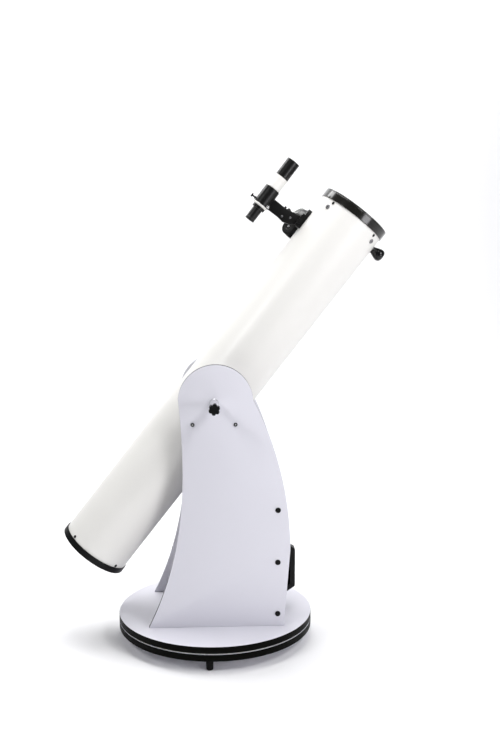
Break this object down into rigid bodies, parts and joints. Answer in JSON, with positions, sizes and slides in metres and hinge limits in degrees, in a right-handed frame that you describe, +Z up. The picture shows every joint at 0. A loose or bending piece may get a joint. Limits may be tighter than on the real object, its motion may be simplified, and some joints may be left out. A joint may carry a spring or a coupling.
{
  "type": "dobsonian telescope",
  "caption": "Solid-tube Newtonian reflector on a turntable rocker box, with rack focuser, straight finder and tension knobs.",
  "frame": {"origin": "on the floor, under the middle of the whole object at rest", "axes": "+X towards the sky end of the tube, +Y to the focuser's side, +Z up; the altitude axis runs along Y and the azimuth axis along Z at x = -0.022"},
  "size_m": [0.8335, 0.5096, 1.2467],
  "materials": {
    "white_board": "white melamine-faced chipboard, satin, with black edge banding on the discs",
    "tube_white": "gloss white baked paint",
    "black_plastic": "black moulded plastic",
    "black_metal": "black paint on metal",
    "black_rubber": "black rubber",
    "nylon": "natural white nylon",
    "steel": "zinc-plated steel",
    "chrome": "bright chrome plate",
    "mirror": "aluminised optical surface",
    "glass": "coated achromat glass"
  },
  "bodies": {
    "ground": {"ground_board": "white_board", "foot_1": "black_rubber", "foot_2": "black_rubber", "foot_3": "black_rubber", "glide_ring": "nylon", "centre_bolt": "steel", "centre_nut": "steel"},
    "rocker": {"base_plate": "white_board", "centre_bush": "nylon", "side_board_near": "white_board", "side_board_far": "white_board", "front_board": "white_board", "carry_handle": "black_plastic", "door_stop": "black_rubber", "board_screw_near_1": "black_plastic", "board_screw_near_2": "black_plastic", "board_screw_near_3": "black_plastic", "board_screw_far_1": "black_plastic", "board_screw_far_2": "black_plastic", "board_screw_far_3": "black_plastic", "altitude_post_near_rear": "nylon", "altitude_post_near_front": "nylon", "altitude_post_far_rear": "nylon", "altitude_post_far_front": "nylon"},
    "tube": {"main_tube": "tube_white", "front_ring": "black_metal", "rear_ring": "black_plastic", "mirror_cell": "black_metal", "mirror_support": "black_metal", "primary_mirror": "mirror", "altitude_hub_near": "black_plastic", "altitude_hub_far": "black_plastic", "guide_knob": "black_plastic", "spider": "black_metal", "secondary_holder": "black_metal", "secondary_mirror": "mirror", "focuser_base": "black_plastic", "finder_shoe": "black_plastic"},
    "tension_near": {"tension_knob_near": "black_plastic", "tension_sleeve_near": "chrome"},
    "tension_far": {"tension_knob_far": "black_plastic", "tension_sleeve_far": "chrome"},
    "focus_pinion": {"pinion_shaft": "steel", "focus_knob_near": "black_plastic", "focus_knob_far": "black_plastic"},
    "focus_slide": {"drawtube": "chrome", "eyepiece_collar": "chrome"},
    "eyepiece_screw": {"collar_screw": "black_metal"},
    "shoe_clamp": {"clamp_screw": "steel"},
    "bracket": {"finder_bracket": "black_plastic"},
    "finder": {"finder_tube": "tube_white", "dew_shade": "black_plastic", "finder_lens": "glass", "finder_eyepiece": "black_plastic"},
    "align_top": {"align_screw_top": "black_metal"},
    "align_side": {"align_screw_side": "black_metal"},
    "plunger": {"spring_plunger": "chrome"},
    "collimation_1": {"collimation_knob_1": "steel"},
    "collimation_2": {"collimation_knob_2": "steel"},
    "collimation_3": {"collimation_knob_3": "steel"}
  },
  "joints": [
    {"name": "azimuth", "type": "hinge", "parent": "ground", "child": "rocker", "pos_m": [-0.022, 0, 0], "axis": [0, 0, 1], "continuous": true},
    {"name": "altitude", "type": "hinge", "parent": "rocker", "child": "tube", "pos_m": [-0.024, 0, 0.641], "axis": [0, -1, 0], "range_deg": [-52.14, 37.86]},
    {"name": "tension_near_turn", "type": "hinge", "parent": "tube", "child": "tension_near", "pos_m": [-0.024, -0.133, 0.641], "axis": [0, -1, 0], "range_deg": [-360, 360]},
    {"name": "tension_far_turn", "type": "hinge", "parent": "tube", "child": "tension_far", "pos_m": [-0.024, 0.133, 0.641], "axis": [0, 1, 0], "range_deg": [-360, 360]},
    {"name": "focus", "type": "hinge", "parent": "tube", "child": "focus_pinion", "pos_m": [0.19886, 0.0792, 1.05673], "axis": [-0.5583, -0.7071, 0.434], "range_deg": [0, 305]},
    {"name": "drawtube_slide", "type": "slide", "parent": "tube", "child": "focus_slide", "axis": [-0.5583, 0.7071, 0.434], "range_m": [0, 0.035]},
    {"name": "eyepiece_screw_turn", "type": "hinge", "parent": "focus_slide", "child": "eyepiece_screw", "pos_m": [0.19974, 0.10529, 1.10038], "axis": [-0.5583, -0.7071, 0.434], "range_deg": [-360, 360]},
    {"name": "shoe_clamp_turn", "type": "hinge", "parent": "tube", "child": "shoe_clamp", "pos_m": [0.1939, 0, 1.08718], "axis": [0, -1, 0], "range_deg": [-360, 360]},
    {"name": "bracket_slide", "type": "slide", "parent": "tube", "child": "bracket", "axis": [0.6137, 0, 0.7895], "range_m": [0, 0.036]},
    {"name": "align_top_turn", "type": "hinge", "parent": "bracket", "child": "align_top", "pos_m": [0.10173, 0, 1.1335], "axis": [-0.7895, 0, 0.6137], "range_deg": [-360, 360]},
    {"name": "align_side_turn", "type": "hinge", "parent": "bracket", "child": "align_side", "pos_m": [0.10173, 0, 1.1335], "axis": [0, 1, 0], "range_deg": [-360, 360]},
    {"name": "finder_tilt", "type": "hinge", "parent": "bracket", "child": "finder", "pos_m": [0.12505, 0, 1.1635], "axis": [0, 1, 0], "range_deg": [-1.05, 1.05]},
    {"name": "plunger_slide", "type": "slide", "parent": "bracket", "child": "plunger", "axis": [-0.5583, 0.7071, 0.434], "range_m": [-0.0006, 0.0006]},
    {"name": "collimation_1_turn", "type": "hinge", "parent": "tube", "child": "collimation_1", "pos_m": [-0.3631, 0.0485, 0.2504], "axis": [-0.6137, 0, -0.7895], "range_deg": [-360, 360]},
    {"name": "collimation_2_turn", "type": "hinge", "parent": "tube", "child": "collimation_2", "pos_m": [-0.3631, -0.0485, 0.2504], "axis": [-0.6137, 0, -0.7895], "range_deg": [-360, 360]},
    {"name": "collimation_3_turn", "type": "hinge", "parent": "tube", "child": "collimation_3", "pos_m": [-0.29678, 0, 0.19885], "axis": [-0.6137, 0, -0.7895], "range_deg": [-360, 360]}
  ],
  "couplings": [
    {"joint": "drawtube_slide", "follows": "focus", "m_per_rad": 0.0065},
    {"joint": "align_top_turn", "follows": "finder_tilt", "ratio": 341.3},
    {"joint": "plunger_slide", "follows": "finder_tilt", "m_per_rad": 0.02686}
  ]
}
